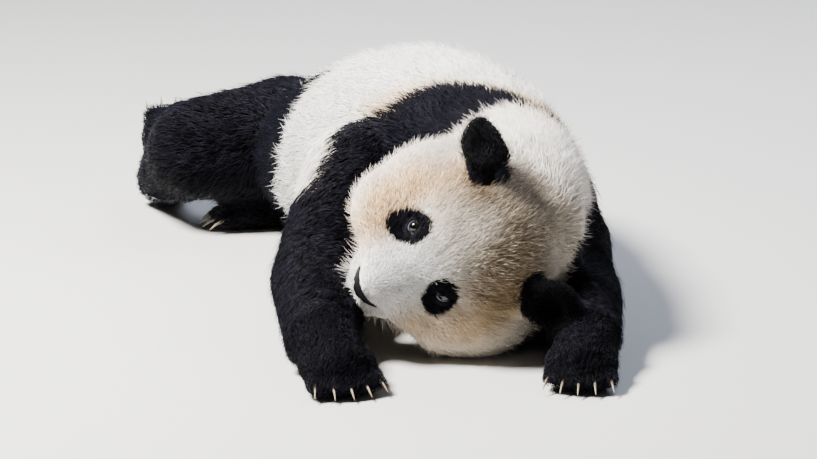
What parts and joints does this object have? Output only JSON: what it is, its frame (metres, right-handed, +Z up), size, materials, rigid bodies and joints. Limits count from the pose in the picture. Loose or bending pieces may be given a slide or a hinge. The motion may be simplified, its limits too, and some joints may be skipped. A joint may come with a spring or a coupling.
{
  "type": "giant panda",
  "caption": "Life-size still giant panda lying on its belly, head rolled onto the left cheek, forelegs stretched forward, hind legs drawn to its right.",
  "frame": {"origin": "middle of the animal's box, on the floor it lies on", "axes": "+Z up; the spine runs along Y with the shoulders towards -Y; +X is the animal's left"},
  "size_m": [0.74, 1.5118, 0.3983],
  "materials": {
    "coat_cream": "dense fur, cream white with a tan tint on the forehead",
    "coat_black": "dense black fur with a faint violet sheen",
    "nose": "bare, finely pebbled, slightly moist skin",
    "eye": "wet, dark brown eye",
    "claw": "pale horn, darker at the root"
  },
  "bodies": {
    "root": {"claw_fore_left_1": "claw", "claw_fore_left_2": "claw", "claw_fore_left_3": "claw", "claw_fore_left_4": "claw", "claw_fore_left_5": "claw", "claw_fore_right_1": "claw", "claw_fore_right_2": "claw", "claw_fore_right_3": "claw", "claw_fore_right_4": "claw", "claw_fore_right_5": "claw", "claw_hind_left_1": "claw", "claw_hind_left_2": "claw", "claw_hind_left_3": "claw", "claw_hind_left_4": "claw", "claw_hind_left_5": "claw", "claw_hind_right_1": "claw", "claw_hind_right_2": "claw", "claw_hind_right_3": "claw", "claw_hind_right_4": "claw", "claw_hind_right_5": "claw", "ear_left": "coat_black", "ear_right": "coat_black", "eye_left": "eye", "eye_right": "eye", "forearm_left": "coat_black", "forearm_right": "coat_black", "forepaw_left": "coat_black", "forepaw_right": "coat_black", "head": "coat_cream", "hind_foot_left": "coat_black", "hind_foot_right": "coat_black", "jaw": "coat_cream", "neck": "coat_cream", "nose": "nose", "rump": "coat_cream", "shank_left": "coat_black", "shank_right": "coat_black", "shoulders": "coat_black", "tail": "coat_cream", "thigh_left": "coat_black", "thigh_right": "coat_black", "trunk": "coat_cream", "upper_arm_left": "coat_black", "upper_arm_right": "coat_black"}
  },
  "joints": []
}
